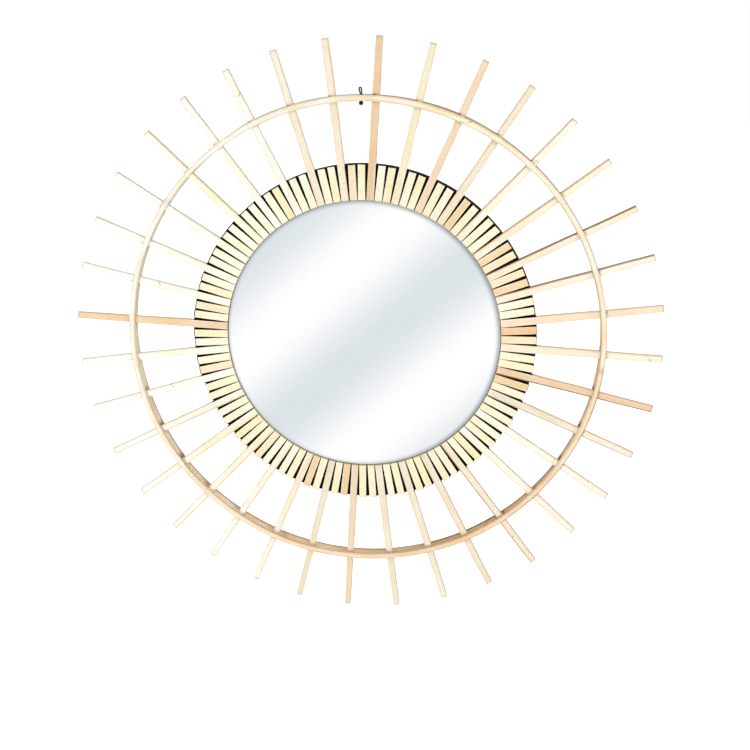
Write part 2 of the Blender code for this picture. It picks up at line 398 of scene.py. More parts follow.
@dataclass(frozen=True, kw_only=True)
class StickFinish(Finish):
    """Split rattan: pale, with fine pores, painted highlight on the slats' long edges, tan edges on the
    rays and dusty sawn tips.

    As far as the ring's radius the sticks' sides are nearly black, painted shade of the narrow slits
    between them.
    """

    layout: Layout
    ring_radius: float
    name: str = "split_rattan"
    fibre_colour: Colour = srgb(230, 214, 170)
    pore_colour: Colour = srgb(192, 172, 116)
    slat_edge_highlight: Colour = srgb(255, 251, 234)
    ray_edge_colour: Colour = srgb(238, 208, 162)
    warm_colour: Colour = srgb(251, 238, 206)
    glare_colour: Colour = srgb(255, 254, 250)
    side_shade_colour: Colour = srgb(236, 224, 200)
    skin_and_shade_colour: Colour = srgb(140, 106, 74)
    stripe_colour: Colour = srgb(232, 198, 146)
    dust_colour: Colour = srgb(184, 162, 130)
    scar_and_shadow_colour: Colour = srgb(112, 80, 52)
    slit_shade_and_paint_colour: Colour = srgb(52, 30, 14)
    glare_span: tuple[float, float] = (0.200, 0.262)
    warmth: float = 0.45
    fibre_strength: float = 0.14
    edge_strength: float = 0.55
    pore_strength: float = 0.6
    side_shade_strength: float = 0.35
    scar_strength: float = 0.6
    dust_strength: float = 0.65
    slit_shade_and_paint_strength: float = 0.97

    def surface(self, tree: Tree) -> dict[str, Value]:
        """Lays grain, painted light, highlight and shade, skin, scars, a painted hoop shadow, dust and
        black paint over the stick's tone.

        Args:
            tree: Where the nodes go.

        Returns:
            The values for the shader's sockets.
        """
        tone = tree.attribute(TONE_NAME)
        from_tip = tree.attribute(TIP_NAME)["Fac"]
        way = tree.node("UVMap", uv_map=GRAIN_MAP).outputs[0]
        lines = tree.node("Group", way, node_tree=rattan_grain()).outputs
        across, radius, depth = tree.split(tree.attribute(PLACE_NAME)["Vector"])
        scar_radius, skin_and_shade_amount, stripe_amount = tree.split(tree.attribute(MARKS_NAME)["Vector"])
        uneven = tree.noise(tree.stretched(way, 2.0 * MM, 6.0 * MM))
        ragged = tree.noise(tree.stretched(way, 2.4 * MM, 24.0 * MM))

        outside = tree.ramp(radius, self.ring_radius - 2.0 * MM, self.ring_radius + 8.0 * MM)
        # Painted light: the rays pale towards their tips, most on the left, where the light washes them
        # out.
        glare = tree.times(tree.ramp(radius, *self.glare_span), tone["Alpha"])
        warmth = tree.times(lines["Drift"], tree.scaled(glare, -0.3, self.warmth))
        # Painted highlight on the slats' long edges, where their rounding catches the light; the rays'
        # edges are tan.
        near_edge = tree.ramp(tree.math("ABSOLUTE", across), 0.50, 0.88)
        edges = tree.times(near_edge, tree.ramp(ragged, 0.35, 0.65), self.edge_strength)
        edge_highlight_and_tan = tree.blend(outside, self.slat_edge_highlight, self.ray_edge_colour)
        pores = tree.times(lines["Pore"], tree.scaled(outside, -0.38, self.pore_strength))
        # Painted shade: the sides below the stick's front are darkened.
        side = tree.ramp(tree.scaled(uneven, 0.06, depth), 0.09, 0.17)
        scar = self.leaf_scar(tree, scar_radius, across, radius)
        dust = tree.times(tree.ramp(from_tip, 1.9 * MM, 0.4 * MM), self.dust_strength, outside)
        # Painted shade of the slits, nearly black low on the sides inside the ring, with black paint on
        # some outer ends.
        paint = self.paint(tree, radius, depth, from_tip, uneven)
        colour = tree.layers(
            tone["Color"],
            (glare, self.glare_colour),
            (warmth, self.warm_colour, "MULTIPLY"),
            (tree.times(lines["Fibre"], self.fibre_strength), self.fibre_colour, "MULTIPLY"),
            (edges, edge_highlight_and_tan),
            (pores, self.pore_colour),
            (tree.times(side, self.side_shade_strength), self.side_shade_colour, "MULTIPLY"),
            (self.along_edge(tree, stripe_amount, across, ragged, 0.40, 0.85), self.stripe_colour),
            # Brown skin along one edge, with painted shade of the side turned from the light on some rays.
            (self.along_edge(tree, skin_and_shade_amount, across, ragged, 0.66, 0.84), self.skin_and_shade_colour),
            (tree.times(scar, self.scar_strength), self.scar_and_shadow_colour),
            # Painted shadow of the hoop on the ray, just outside it.
            (self.hoop_shadow(tree, across, radius, uneven), self.scar_and_shadow_colour),
            (dust, self.dust_colour),
            (tree.times(paint, self.slit_shade_and_paint_strength), self.slit_shade_and_paint_colour),
        )
        rough = tree.scaled(lines["Fibre"], 0.16, self.roughness - 0.08)
        return {
            "Base Color": colour,
            "Roughness": tree.scaled(paint, 0.2, rough),
            "Normal": tree.bump(lines["Height"], 0.12 * MM, 0.5),
        }

    @staticmethod
    def along_edge(
        tree: Tree, amount: Value, across: Value, uneven: Value, start: float, full: float
    ) -> Value:
        """A strip along one edge of a stick: a tan stripe, and brown skin that the knife has left, with
        painted shade of the side turned from the light on some rays.

        Args:
            tree: Where the nodes go.
            amount: How strong it is, above 0 for the clockwise edge and below 0 for the other.
            across: The place across the stick, -1 to 1.
            uneven: Cloudy values that roughen the strip's border.
            start: Where across the stick it starts.
            full: Where it has its whole strength.

        Returns:
            The strip's mask.
        """
        edge = tree.scaled(uneven, 0.16, tree.times(tree.math("SIGN", amount), across))
        return tree.times(tree.ramp(edge, start, full), tree.math("ABSOLUTE", amount))

    @staticmethod
    def leaf_scar(tree: Tree, at: Value, across: Value, radius: Value) -> Value:
        """A curved scar half across a stick.

        Args:
            tree: Where the nodes go.
            at: The radius at which it lies.
            across: The place across the stick, -1 to 1.
            radius: The place along the stick.

        Returns:
            The scar's mask.
        """
        bow = tree.times(across, across, 2.4 * MM)
        off = tree.math("ABSOLUTE", tree.math("SUBTRACT", tree.math("SUBTRACT", radius, at), bow))
        return tree.times(tree.ramp(off, 0.75 * MM, 0.2 * MM), tree.ramp(across, -0.35, 0.05))

    def hoop_shadow(self, tree: Tree, across: Value, radius: Value, uneven: Value) -> Value:
        """Painted shadow of the hoops just outside them, mostly at one edge of each ray.

        Args:
            tree: Where the nodes go.
            across: The place across the stick, -1 to 1.
            radius: The place along the stick.
            uneven: Cloudy values that break it up.

        Returns:
            The painted shadow's mask.
        """
        rim = self.layout.hoop_radius + self.layout.hoop_thickness / 2
        past = tree.math("SUBTRACT", radius, rim)
        band = tree.times(tree.ramp(past, -0.9 * MM, 0.0), tree.ramp(past, 1.5 * MM, 0.3 * MM))
        return tree.times(band, tree.ramp(across, 0.5, -0.7), tree.ramp(uneven, 0.3, 0.6))

    def paint(self, tree: Tree, radius: Value, depth: Value, from_tip: Value, uneven: Value) -> Socket:
        """Painted shade of the narrow slits, nearly black low on the sides, and black paint on some outer
        ends.

        Args:
            tree: Where the nodes go.
            radius: The place along the stick.
            depth: 0 at the stick's front and 1 at its back.
            from_tip: How far it is to where the outer end's paint starts.
            uneven: Cloudy values that roughen its border.

        Returns:
            The mask of the painted shade and the end paint.
        """
        ring, glass = self.ring_radius, self.layout.glass_radius
        inside = tree.ramp(tree.scaled(uneven, 2.0 * MM, radius), ring + 1.4 * MM, ring + 0.6 * MM)
        off_glass = tree.ramp(radius, glass + 1.4 * MM, glass + 4.0 * MM)
        low = tree.ramp(tree.scaled(uneven, 0.03, depth), 0.020, 0.044)
        at_end = tree.ramp(from_tip, 0.1 * MM, -0.1 * MM)
        return tree.math("MAXIMUM", tree.times(inside, off_glass, low), at_end)


@dataclass(frozen=True, kw_only=True)
class SawnFinish(Finish):
    """End grain of a sawn stick: dots of open vessels on a duller ground."""

    name: str = "sawn_rattan_end"
    roughness: float = 0.8
    ground_colour: Colour = srgb(244, 232, 208)
    hole_colour: Colour = srgb(170, 140, 100)
    ground_strength: float = 0.75
    hole_strength: float = 0.55
    holes_per_metre: float = 1600.0

    def surface(self, tree: Tree) -> dict[str, Value]:
        """Dots the duller tone with holes.

        Args:
            tree: Where the nodes go.

        Returns:
            The values for the shader's sockets.
        """
        vessels = tree.cells(tree.place(), self.holes_per_metre, "3D")
        holes = tree.ramp(vessels["Distance"], 0.42, 0.16)
        colour = tree.layers(
            tree.attribute(TONE_NAME)["Color"],
            (self.ground_strength, self.ground_colour, "MULTIPLY"),
            (tree.times(holes, self.hole_strength), self.hole_colour),
        )
        normal = tree.bump(tree.math("SUBTRACT", 1.0, holes), 0.15 * MM, 0.6)
        return {"Base Color": colour, "Normal": normal}


@dataclass(frozen=True, kw_only=True)
class CaneFinish(Finish):
    """Round peeled rattan: satin, streaked lengthwise, in patches of two tones."""

    roughness: float = 0.42
    shade: Colour = srgb(249, 240, 224)
    streak: Colour = srgb(206, 170, 126)
    mark_and_shade: Colour = srgb(120, 84, 54)
    fibre_colour: Colour = srgb(226, 202, 168)
    fibre_width: float = 0.5 * MM
    fibre_length: float = 28 * MM
    pore_share: float = 0.12
    pore_strength: float = 0.5
    fibre_strength: float = 0.24
    streak_strength: float = 0.35

    def surface(self, tree: Tree) -> dict[str, Value]:
        """Lays patches, streaks, fibres, pores and brown marks, partly painted shade and shadow, over the
        cane's colour.

        Args:
            tree: Where the nodes go.

        Returns:
            The values for the shader's sockets.
        """
        marks = tree.attribute(TONE_NAME)
        way = tree.node("UVMap", uv_map=GRAIN_MAP).outputs[0]
        fibre = (self.fibre_width, self.fibre_length)
        lines = tree.node("Group", way, *fibre, self.pore_share, node_tree=rattan_grain()).outputs
        bands = tree.ramp(tree.noise(tree.stretched(way, 2.4 * MM, 90 * MM)), 0.52, 0.72)
        colour = tree.layers(
            marks["Color"],
            (lines["Drift"], self.shade, "MULTIPLY"),
            (tree.times(bands, self.streak_strength), self.streak),
            (tree.times(lines["Fibre"], self.fibre_strength), self.fibre_colour, "MULTIPLY"),
            (tree.times(lines["Pore"], self.pore_strength), self.streak),
            (marks["Alpha"], self.mark_and_shade),
        )
        return {
            "Base Color": colour,
            "Roughness": tree.scaled(lines["Fibre"], 0.18, self.roughness - 0.09),
            "Normal": tree.bump(lines["Height"], 0.12 * MM, 0.6),
        }


@dataclass(frozen=True, kw_only=True)
class PaintFinish(Finish):
    """Matt black paint rolled on board, thin near the glass, where glue shows too."""

    layout: Layout
    name: str = "black_paint"
    roughness: float = 0.7
    specular: float = 0.08
    dark_colour: Colour = srgb(17, 10, 5)
    light_colour: Colour = srgb(31, 20, 11)
    fibre_colour: Colour = srgb(62, 50, 38)
    thin_colour: Colour = srgb(112, 84, 44)
    glue_colour: Colour = srgb(176, 168, 146)
    fibre_strength: float = 0.4
    thin_strength: float = 0.8
    glue_strength: float = 0.9

    def surface(self, tree: Tree) -> dict[str, Value]:
        """Clouds the paint, and thins it on the board's front round the glass.

        Args:
            tree: Where the nodes go.

        Returns:
            The values for the shader's sockets.
        """
        place = tree.place()
        clouds = tree.ramp(tree.noise(place, 24.0, 3.0), 0.35, 0.7)
        fibres = tree.ramp(tree.noise(place, 260.0, 3.0), 0.66, 0.74)
        spot, _, radius = tree.from_hub(self.layout.hub)
        _, depth, height = tree.split(spot)
        front = self.layout.board_front + 0.2 * MM
        in_front = tree.ramp(depth, front + 0.6 * MM, front)
        off_glass = tree.math("SUBTRACT", radius, self.layout.glass_radius)
        thin = tree.times(tree.ramp(off_glass, 15.0 * MM, 3.0 * MM), tree.ramp(height, -0.12, -0.04))
        glue = tree.times(tree.ramp(off_glass, 2.0 * MM, 1.0 * MM), in_front, self.glue_strength)
        colour = tree.layers(
            self.dark_colour,
            (clouds, self.light_colour),
            (tree.times(fibres, self.fibre_strength), self.fibre_colour),
            (tree.times(thin, in_front, self.thin_strength), self.thin_colour),
            (glue, self.glue_colour),
        )
        return {
            "Base Color": colour,
            "Roughness": tree.scaled(clouds, 0.15, self.roughness),
            "Specular IOR Level": self.specular,
            "Normal": tree.bump(tree.noise(place, 900.0, 4.0), 0.15 * MM, 0.35),
        }


@dataclass(frozen=True, kw_only=True)
class SilverFinish(Finish):
    """Silvered glass: a clean mirror, greyed close to the rim with painted shade."""

    layout: Layout
    name: str = "silvered_glass"
    roughness: float = 0.015
    silver: Colour = srgb(254, 254, 254)
    rim_shade: Colour = srgb(172, 178, 182)
    rim_shade_band: float = 7.0 * MM
    off_centre: Spot = (0.0085, 0.0, 0.0030)

    def surface(self, tree: Tree) -> dict[str, Value]:
        """Paints shade into the silver in a band at the rim that is wider at the upper right.

        Args:
            tree: Where the nodes go.

        Returns:
            The values for the shader's sockets.
        """
        spot, flat, reach = tree.from_hub(self.layout.hub)
        lean = tree.node("VectorMath", flat, self.off_centre, operation="DOT_PRODUCT").outputs["Value"]
        rim = self.layout.glass_radius
        # Painted shade: the silver greys towards the rim.
        near_rim = tree.ramp(tree.math("ADD", reach, lean), rim - self.rim_shade_band, rim + 1.0 * MM)
        film = tree.ramp(tree.noise(spot, 18.0, 3.0), 0.5, 0.8)
        return {
            "Base Color": tree.blend(tree.times(near_rim, near_rim), self.silver, self.rim_shade),
            "Roughness": tree.scaled(film, 0.012, self.roughness),
            "Metallic": 1.0,
        }


@dataclass(frozen=True, kw_only=True)
class GroundEdgeFinish(Finish):
    """The ground rim of a glass disc: greyish green, matt."""

    name: str = "ground_glass_edge"
    roughness: float = 0.45
    dark: Colour = srgb(176, 184, 180)
    light: Colour = srgb(206, 210, 204)

    def surface(self, tree: Tree) -> dict[str, Value]:
        """Frosts the ground glass.

        Args:
            tree: Where the nodes go.

        Returns:
            The values for the shader's sockets.
        """
        frost = tree.noise(tree.place(), 1500.0)
        colour = tree.blend(frost, self.dark, self.light)
        return {"Base Color": colour, "Normal": tree.bump(frost, 0.05 * MM, 0.4)}


@dataclass(frozen=True, kw_only=True)
class WireFinish(Finish):
    """Blackened iron wire with a little bare metal where it rubs."""

    name: str = "blackened_wire"
    roughness: float = 0.42
    metallic: float = 0.4
    black: Colour = srgb(24, 22, 22)
    bare: Colour = srgb(78, 72, 66)

    def surface(self, tree: Tree) -> dict[str, Value]:
        """Rubs the black off in small specks.

        Args:
            tree: Where the nodes go.

        Returns:
            The values for the shader's sockets.
        """
        specks = tree.noise(tree.place(), 1400.0, 3.0)
        worn = tree.ramp(specks, 0.60, 0.72)
        return {
            "Base Color": tree.blend(worn, self.black, self.bare),
            "Roughness": tree.scaled(worn, -0.15, self.roughness),
            "Metallic": self.metallic,
            "Normal": tree.bump(specks, 0.05 * MM, 0.4),
        }


@dataclass(frozen=True, kw_only=True)
class FloorFinish(Finish):
    """The plain pale floor, lit a little from within."""

    name: str = "pale_floor"
    roughness: float = 0.9
    grey: float = 0.9
    glow: float = 0.9

    def surface(self, tree: Tree) -> dict[str, Value]:
        """Plain values."""
        return {"Base Color": (self.grey,) * 3, "Emission Color": WHITE, "Emission Strength": self.glow}


@dataclass
class Finishes:
    """Every material of the mirror, built once."""

    stick: Material
    sawn: Material
    front_cane: Material
    rear_cane: Material
    paint: Material
    silver: Material
    ground_edge: Material
    wire: Material

    @classmethod
    def build(cls, layout: Layout) -> "Finishes":
        """Builds the materials.

        Args:
            layout: Where the glass, the board and the hoops are.

        Returns:
            The finishes.
        """
        browner = {"roughness": 0.45, "streak": srgb(176, 136, 94), "mark_and_shade": srgb(112, 76, 46)}
        return cls(
            stick=StickFinish(layout=layout, ring_radius=StickRing.ring_radius).build(),
            sawn=SawnFinish().build(),
            front_cane=CaneFinish(name="front_cane").build(),
            rear_cane=CaneFinish(name="rear_cane", **browner).build(),
            paint=PaintFinish(layout=layout).build(),
            silver=SilverFinish(layout=layout).build(),
            ground_edge=GroundEdgeFinish().build(),
            wire=WireFinish().build(),
        )


def choose(*pieces: Piece) -> None:
    """Selects some objects alone.

    Args:
        *pieces: The objects, the first to be the active one. With none the selection is cleared.
    """
    bpy.ops.object.select_all(action="DESELECT")
    for piece in pieces:
        piece.select_set(True)
    if pieces:
        bpy.context.view_layer.objects.active = pieces[0]


@contextmanager
def editing(piece: Piece) -> Iterator[None]:
    """Edit mode on one object, for the length of a with block.

    Args:
        piece: The object.

    Returns:
        The context.
    """
    choose(piece)
    bpy.ops.object.mode_set(mode="EDIT")
    yield
    bpy.ops.object.mode_set(mode="OBJECT")


def select(piece: Piece, part: Part, wanted: Callable[..., bool]) -> None:
    """Selects exactly the edges or faces that a test wants, in edit mode.

    Args:
        piece: The object.
        part: Edges or faces.
        wanted: The test for one of them.
    """
    bpy.ops.mesh.select_mode(type=part.name)
    bpy.ops.mesh.select_all(action="DESELECT")
    shape = bmesh.from_edit_mesh(piece.data)
    for element in getattr(shape, part.value):
        element.select_set(wanted(element))
    bmesh.update_edit_mesh(piece.data)


def bevel(piece: Piece, wanted: Callable[[Edge], bool], offset: float, segments: int) -> None:
    """Rounds the edges that a test wants, in edit mode."""
    select(piece, Part.EDGE, wanted)
    bpy.ops.mesh.bevel(offset=offset, segments=segments, profile=0.5, affect="EDGES")


def bounds_face(edge: Edge, axis: int) -> bool:
    """Whether an edge bounds a face that looks along an axis."""
    flat = [abs(face.normal[axis]) > 0.9 for face in edge.link_faces]
    return any(flat) and not all(flat)


def fix_place(name: str) -> Piece:
    """Names the active object and moves its place into its mesh.

    Args:
        name: Its name.

    Returns:
        The object.
    """
    made = bpy.context.object
    made.name = name
    bpy.ops.object.transform_apply(location=True, rotation=True, scale=True)
    return made


def copy_of(blank: Piece) -> Piece:
    """Copies an object.

    Args:
        blank: The object.

    Returns:
        The copy, with a mesh of its own.
    """
    made = blank.copy()
    made.data = blank.data.copy()
    bpy.context.collection.objects.link(made)
    return made


def finish(piece: Piece, node: str, smooth_below: float) -> None:
    """Smooths a piece and lets it ride on the mirror and stand for its solid.

    Args:
        piece: The finished piece.
        node: The solid that it stands for.
        smooth_below: The angle in degrees from which an edge stays sharp.
    """
    choose(piece)
    bpy.ops.object.shade_smooth_by_angle(angle=math.radians(smooth_below))
    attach(piece, "root")
    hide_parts(node)
    LOG.info("%s stands for %s, %d faces", piece.name, node, len(piece.data.polygons))


def points_of(mesh: Mesh) -> Array:
    """A mesh's vertices.

    Args:
        mesh: The mesh.

    Returns:
        Rows of x, y, z.
    """
    places = np.empty(len(mesh.vertices) * 3)
    mesh.vertices.foreach_get("co", places)
    return places.reshape(-1, 3)


def move_points(mesh: Mesh, places: Array) -> None:
    """Writes a mesh's vertices back."""
    mesh.vertices.foreach_set("co", places.reshape(-1))
    mesh.update()


def write_map(mesh: Mesh, at_points: Array, turns: tuple[float, float] | None = None) -> None:
    """Writes the Grain map.

    Args:
        mesh: The mesh.
        at_points: One (u, v) for each vertex.
        turns: How far once round is, in u and in v, on a piece that closes on itself. There no face
            runs back over the whole map.
    """
    corners = np.empty(len(mesh.loops), dtype=np.int32)
    mesh.loops.foreach_get("vertex_index", corners)
    places = at_points[corners]
    if turns:
        starts = np.empty(len(mesh.polygons), dtype=np.int32)
        totals = np.empty(len(mesh.polygons), dtype=np.int32)
        mesh.polygons.foreach_get("loop_start", starts)
        mesh.polygons.foreach_get("loop_total", totals)
        first = np.repeat(places[starts], totals, axis=0)
        places = places - np.round((places - first) / np.array(turns)) * np.array(turns)
    layer = mesh.uv_layers.get(GRAIN_MAP) or mesh.uv_layers.new(name=GRAIN_MAP)
    layer.uv.foreach_set("vector", places.reshape(-1))


def write_values(mesh: Mesh, name: str, at_points: Array) -> None:
    """Writes an attribute.

    Args:
        mesh: The mesh.
        name: The attribute's name.
        at_points: A number, (x, y, z) or (r, g, b, a) for each vertex.
    """
    kind, key = ATTRIBUTE_KINDS[at_points.size // len(mesh.vertices)]
    layer = mesh.attributes.get(name) or mesh.attributes.new(name, kind, "POINT")
    layer.data.foreach_set(key, at_points.reshape(-1))


def wave(angle: Array, waves: float, second_waves: float, share: float, dice: Dice) -> Array:
    """A slow random wave from -1 to 1, made of two.

    Args:
        angle: Where its values are wanted.
        waves: How many waves the first has on a unit of that, times 2 pi.
        second_waves: The same for the second.
        share: How much of the height is the first one's.
        dice: Where its start comes from.

    Returns:
        The values.
    """
    first, second = dice.uniform(0, FULL_TURN, 2)
    return share * np.sin(waves * angle + first) + (1.0 - share) * np.sin(second_waves * angle + second)


def wander(along: Array, period: float, dice: Dice) -> Array:
    """A slow random wave along a straight piece, from -1 to 1."""
    turn = FULL_TURN / period
    return wave(along, turn, 2.3 * turn, 0.62, dice)


def closed_wave(angle: Array, waves: int, dice: Dice) -> Array:
    """A slow random wave that closes round a hoop, from -1 to 1."""
    return wave(angle, waves, 2 * waves + 1, 0.6, dice)


@dataclass(frozen=True)
class Spoke:
    """Where a stick stands: its group, 0 for the ray or its number as a slat, and its degrees.

    Groups and degrees run clockwise from the top.
    """

    group: int
    slat: int
    degrees: float

    def value(self, stops: Stops) -> float:
        """A value that changes round the ring, at this stick."""
        degrees, values = zip(*stops)
        return float(np.interp(self.degrees, degrees, values, period=360.0))


@dataclass
class StickRing:
    """Rays and short slats round the glass, each group of three glued where it touches."""

    layout: Layout
    finishes: Finishes
    ray_count: int = 36
    slats_per_ray: int = 2
    first_ray_deg: float = 3.6
    inner_radius: float = 0.140
    ring_radius: float = 0.176
    tip_radius: float = 0.300
    width: float = 0.0082
    tip_width: float = 0.0066
    shoulder: float = 0.55 * MM
    crown: float = 0.30 * MM
    end_break: float = 0.35 * MM
    seed: int = 11
    thinning: float = 0.035
    waver: float = 0.012
    waver_period: float = 0.07
    sinking: float = 0.25 * MM
    ripple: float = 0.10 * MM
    ripple_period: float = 0.05
    stray: float = 0.7 * MM
    bend: float = 0.35 * MM
    bend_period: float = 0.16
    skew: float = 0.05
    shortening: tuple[float, float] = (0.2 * MM, 1.2 * MM)
    shortened_length: float = 4 * MM
    turn_off_deg: float = 0.12
    darkest: float = 0.96
    # Painted light: the groups on the left, where the light washes the sticks out, draw from the paler
    # second row of each pair of usual tones.
    glare_groups: range = range(21, 34)
    usual_tones: tuple[tuple[tuple[Tone, Tone, Tone], ...], ...] = (
        ((Tone.BLUSH, Tone.BLUSH, Tone.PALE), (Tone.WASHED, Tone.WASHED, Tone.PALE)),
        ((Tone.PALE, Tone.CREAM, Tone.CREAM), (Tone.PALE, Tone.PALE, Tone.CREAM)),
    )
    ray_tones: dict[int, Tone] = field(default_factory=lambda: {
        0: Tone.TAN, 1: Tone.CREAM, 2: Tone.PEACH, 6: Tone.BLUSH, 8: Tone.PEACH, 10: Tone.DULL,
        12: Tone.WASHED, 13: Tone.WASHED, 14: Tone.BLUSH, 15: Tone.BLUSH, 17: Tone.BLUSH,
        18: Tone.PEACH, 19: Tone.BLUSH, 27: Tone.TAN,
    })
    slat_tones: dict[tuple[int, int], Tone] = field(default_factory=lambda: {
        (3, 1): Tone.HONEY, (5, 1): Tone.HONEY, (5, 2): Tone.SAND, (6, 1): Tone.SAND,
        (6, 2): Tone.HONEY, (8, 1): Tone.ORANGE, (8, 2): Tone.SAND, (10, 1): Tone.HONEY,
        (13, 1): Tone.YELLOW, (18, 1): Tone.HONEY, (19, 2): Tone.HONEY, (21, 2): Tone.SAND,
        (22, 2): Tone.YELLOW, (25, 1): Tone.SAND, (27, 2): Tone.SAND, (32, 2): Tone.YELLOW,
        (35, 1): Tone.SAND,
    })
    # Dark strips along one edge of some rays: brown skin, with painted shade of the side turned from the
    # light, as on the top sides of the rays on the left.
    skin_and_shade: dict[int, float] = field(default_factory=lambda: {
        3: -0.15, 4: -0.4, 5: -0.4, 6: -0.95, 7: -0.8, 10: 1.0, 11: 0.5, 12: 0.15, 14: 0.7, 15: 0.1,
        24: -0.25, 29: 0.1, 30: 0.15, 31: 0.2, 32: 0.1,
    })
    stripes: dict[int, float] = field(default_factory=lambda: {
        0: -0.3, 2: 0.5, 3: -0.35, 4: -0.4, 5: -0.55, 9: -0.3, 10: 0.9, 13: 0.35, 14: 0.45, 15: 0.5,
        16: 0.4, 18: -0.4, 19: 0.3, 20: -0.45, 21: -0.6, 22: -0.6, 23: -0.55, 24: -0.45, 31: 0.4,
        34: -0.35, 35: 0.3,
    })
    scars: dict[int, float] = field(default_factory=lambda: {
        4: 0.2470, 9: 0.2862, 14: 0.2640, 25: 0.2080, 28: 0.2150, 33: 0.2710,
    })
    shading: Stops = (
        (0.0, 0.91), (28.0, 0.90), (50.0, 1.0), (100.0, 1.0), (112.0, 0.9), (125.0, 1.0), (150.0, 0.91),
        (190.0, 0.88), (212.0, 0.95), (245.0, 0.92), (256.0, 1.0), (320.0, 1.0), (335.0, 0.93),
        (350.0, 0.96),
    )
    # Painted light round the ring: how much a ray pales towards its tip.
    tip_glare: Stops = (
        (0.0, 0.0), (100.0, 0.3), (140.0, 0.3), (180.0, 0.1), (215.0, 0.5), (250.0, 1.0), (305.0, 1.0),
        (345.0, 0.2),
    )
    slimming: Stops = (
        (0.0, 0.965), (45.0, 0.98), (90.0, 1.0), (120.0, 0.98), (160.0, 0.94), (205.0, 0.94),
        (240.0, 0.98), (270.0, 1.0), (320.0, 0.98),
    )
    rim_from_deg: float = 252.0
    rim_to_deg: float = 78.0
    rim_paint: Stops = (
        (0.0, 0.2 * MM), (60.0, 0.2 * MM), (252.0, 1.1 * MM), (300.0, 1.2 * MM), (345.0, 0.3 * MM),
    )
    end_paint: float = 0.25 * MM
    fill_front: float = -0.0120
    fill_radii: tuple[float, float] = (0.1415, 0.1754)
    fill_short: float = 1.2 * MM

    def spoke(self, group: int, slat: int) -> Spoke:
        """Finds where a stick stands, from its group and its number in it."""
        slots = group + slat / (self.slats_per_ray + 1)
        return Spoke(group, slat, (self.first_ray_deg + slots * 360.0 / self.ray_count) % 360.0)

    def turn_to(self, at: Spoke, off: float = 0.0) -> Matrix:
        """The turn about the hub that stands a stick in its place, off by some degrees."""
        turn = Matrix.Rotation(math.radians(at.degrees + off), 4, "Y")
        return Matrix.Translation(self.layout.hub) @ turn

    def block(self, name: str, width: float, front: float, inner: float, outer: float) -> Piece:
        """Saws a plain block along +Z.

        Args:
            name: The object's name.
            width: Its width.
            front: Its front in Y. Its back is the sticks' back.
            inner: Where it starts.
            outer: Where it ends.

        Returns:
            The block, with its place in its mesh.
        """
        choose()
        bpy.ops.mesh.primitive_cube_add(
            size=1.0,
            location=(0.0, (front + self.layout.stick_back) / 2, (inner + outer) / 2),
            scale=(width, self.layout.stick_back - front, outer - inner),
        )
        return fix_place(name)

    @staticmethod
    def widen_end(block: Piece, share: float, outer: float) -> None:
        """Widens or narrows a block's outer end, in edit mode."""
        select(block, Part.FACE, lambda face: face.normal.z > 0.9)
        bpy.ops.transform.resize(value=(share, 1.0, 1.0), center_override=(0.0, 0.0, outer))

    def fill_blank(self) -> Piece:
        """Makes the black wedge under one stick, as wide as its share of the ring, along +Z: painted shade
        that blacks out the slits beside the stick.

        Returns:
            The wedge, whose front lies between the board and the sticks' fronts.
        """
        inner, outer = self.fill_radii
        half_angle = math.radians(180.0 / self.ray_count / (self.slats_per_ray + 1))
        width = 1.99 * inner * math.tan(half_angle)
        wedge = self.block("fill_blank", width, self.fill_front, inner, outer)
        with editing(wedge):
            self.widen_end(wedge, outer / inner, outer)
        wedge.data.materials.append(self.finishes.paint)
        return wedge

    def stick_blank(self, name: str, outer: float, cuts: int) -> Piece:
        """Planes one straight stick along +Z, from the inner radius outwards.

        Args:
            name: The object's name.
            outer: Where the stick ends.
            cuts: How many cross cuts each stretch of it gets.

        Returns:
            The stick, with rounded shoulders and broken end edges.
        """
        is_ray = outer > self.ring_radius
        stick = self.block(name, self.width, self.layout.stick_front, self.inner_radius, outer)
        with editing(stick):
            if is_ray:
                bpy.ops.mesh.select_all(action="SELECT")
                bpy.ops.mesh.bisect(plane_co=(0, 0, self.ring_radius), plane_no=(0, 0, 1))
                self.widen_end(stick, self.tip_width / self.width, outer)
            bevel(stick, self.runs_along, self.shoulder, 3)
            select(stick, Part.EDGE, self.runs_along)
            bpy.ops.mesh.subdivide(number_cuts=cuts)
            select(stick, Part.EDGE, self.crosses_broad_face)
            bpy.ops.mesh.subdivide(number_cuts=3)
            bevel(stick, lambda edge: bounds_face(edge, 2), self.end_break, 2)
        for material in (self.finishes.stick, self.finishes.sawn, self.finishes.paint):
            stick.data.materials.append(material)
        for face in stick.data.polygons:
            face.material_index = Coat.SAWN if abs(face.normal.z) > 0.9 else Coat.WOOD
            # Inside the ring the sides take the board's black: painted shade of the narrow slits between
            # the sticks.
            on_side = abs(face.normal.x) > 0.6 and face.center.z < self.ring_radius
            if on_side or not is_ray and face.normal.z > 0.3:
                face.material_index = Coat.PAINT
        return stick

    @staticmethod
    def runs_along(edge: Edge) -> bool:
        """Whether an edge runs lengthwise."""
        run = edge.verts[1].co - edge.verts[0].co
        return abs(run.z) > 4 * abs(run.x) + 4 * abs(run.y)

    def crosses_broad_face(self, edge: Edge) -> bool:
        """Whether an edge lies across the front or the back.

        Args:
            edge: The edge.

        Returns:
            True if it does.
        """
        first, second = (vert.co for vert in edge.verts)
        level = abs(first.y - second.y) < 0.01 * MM and abs(first.z - second.z) < 0.01 * MM
        faces = (self.layout.stick_front, self.layout.stick_back)
        return level and min(abs(first.y - y) for y in faces) < 0.01 * MM

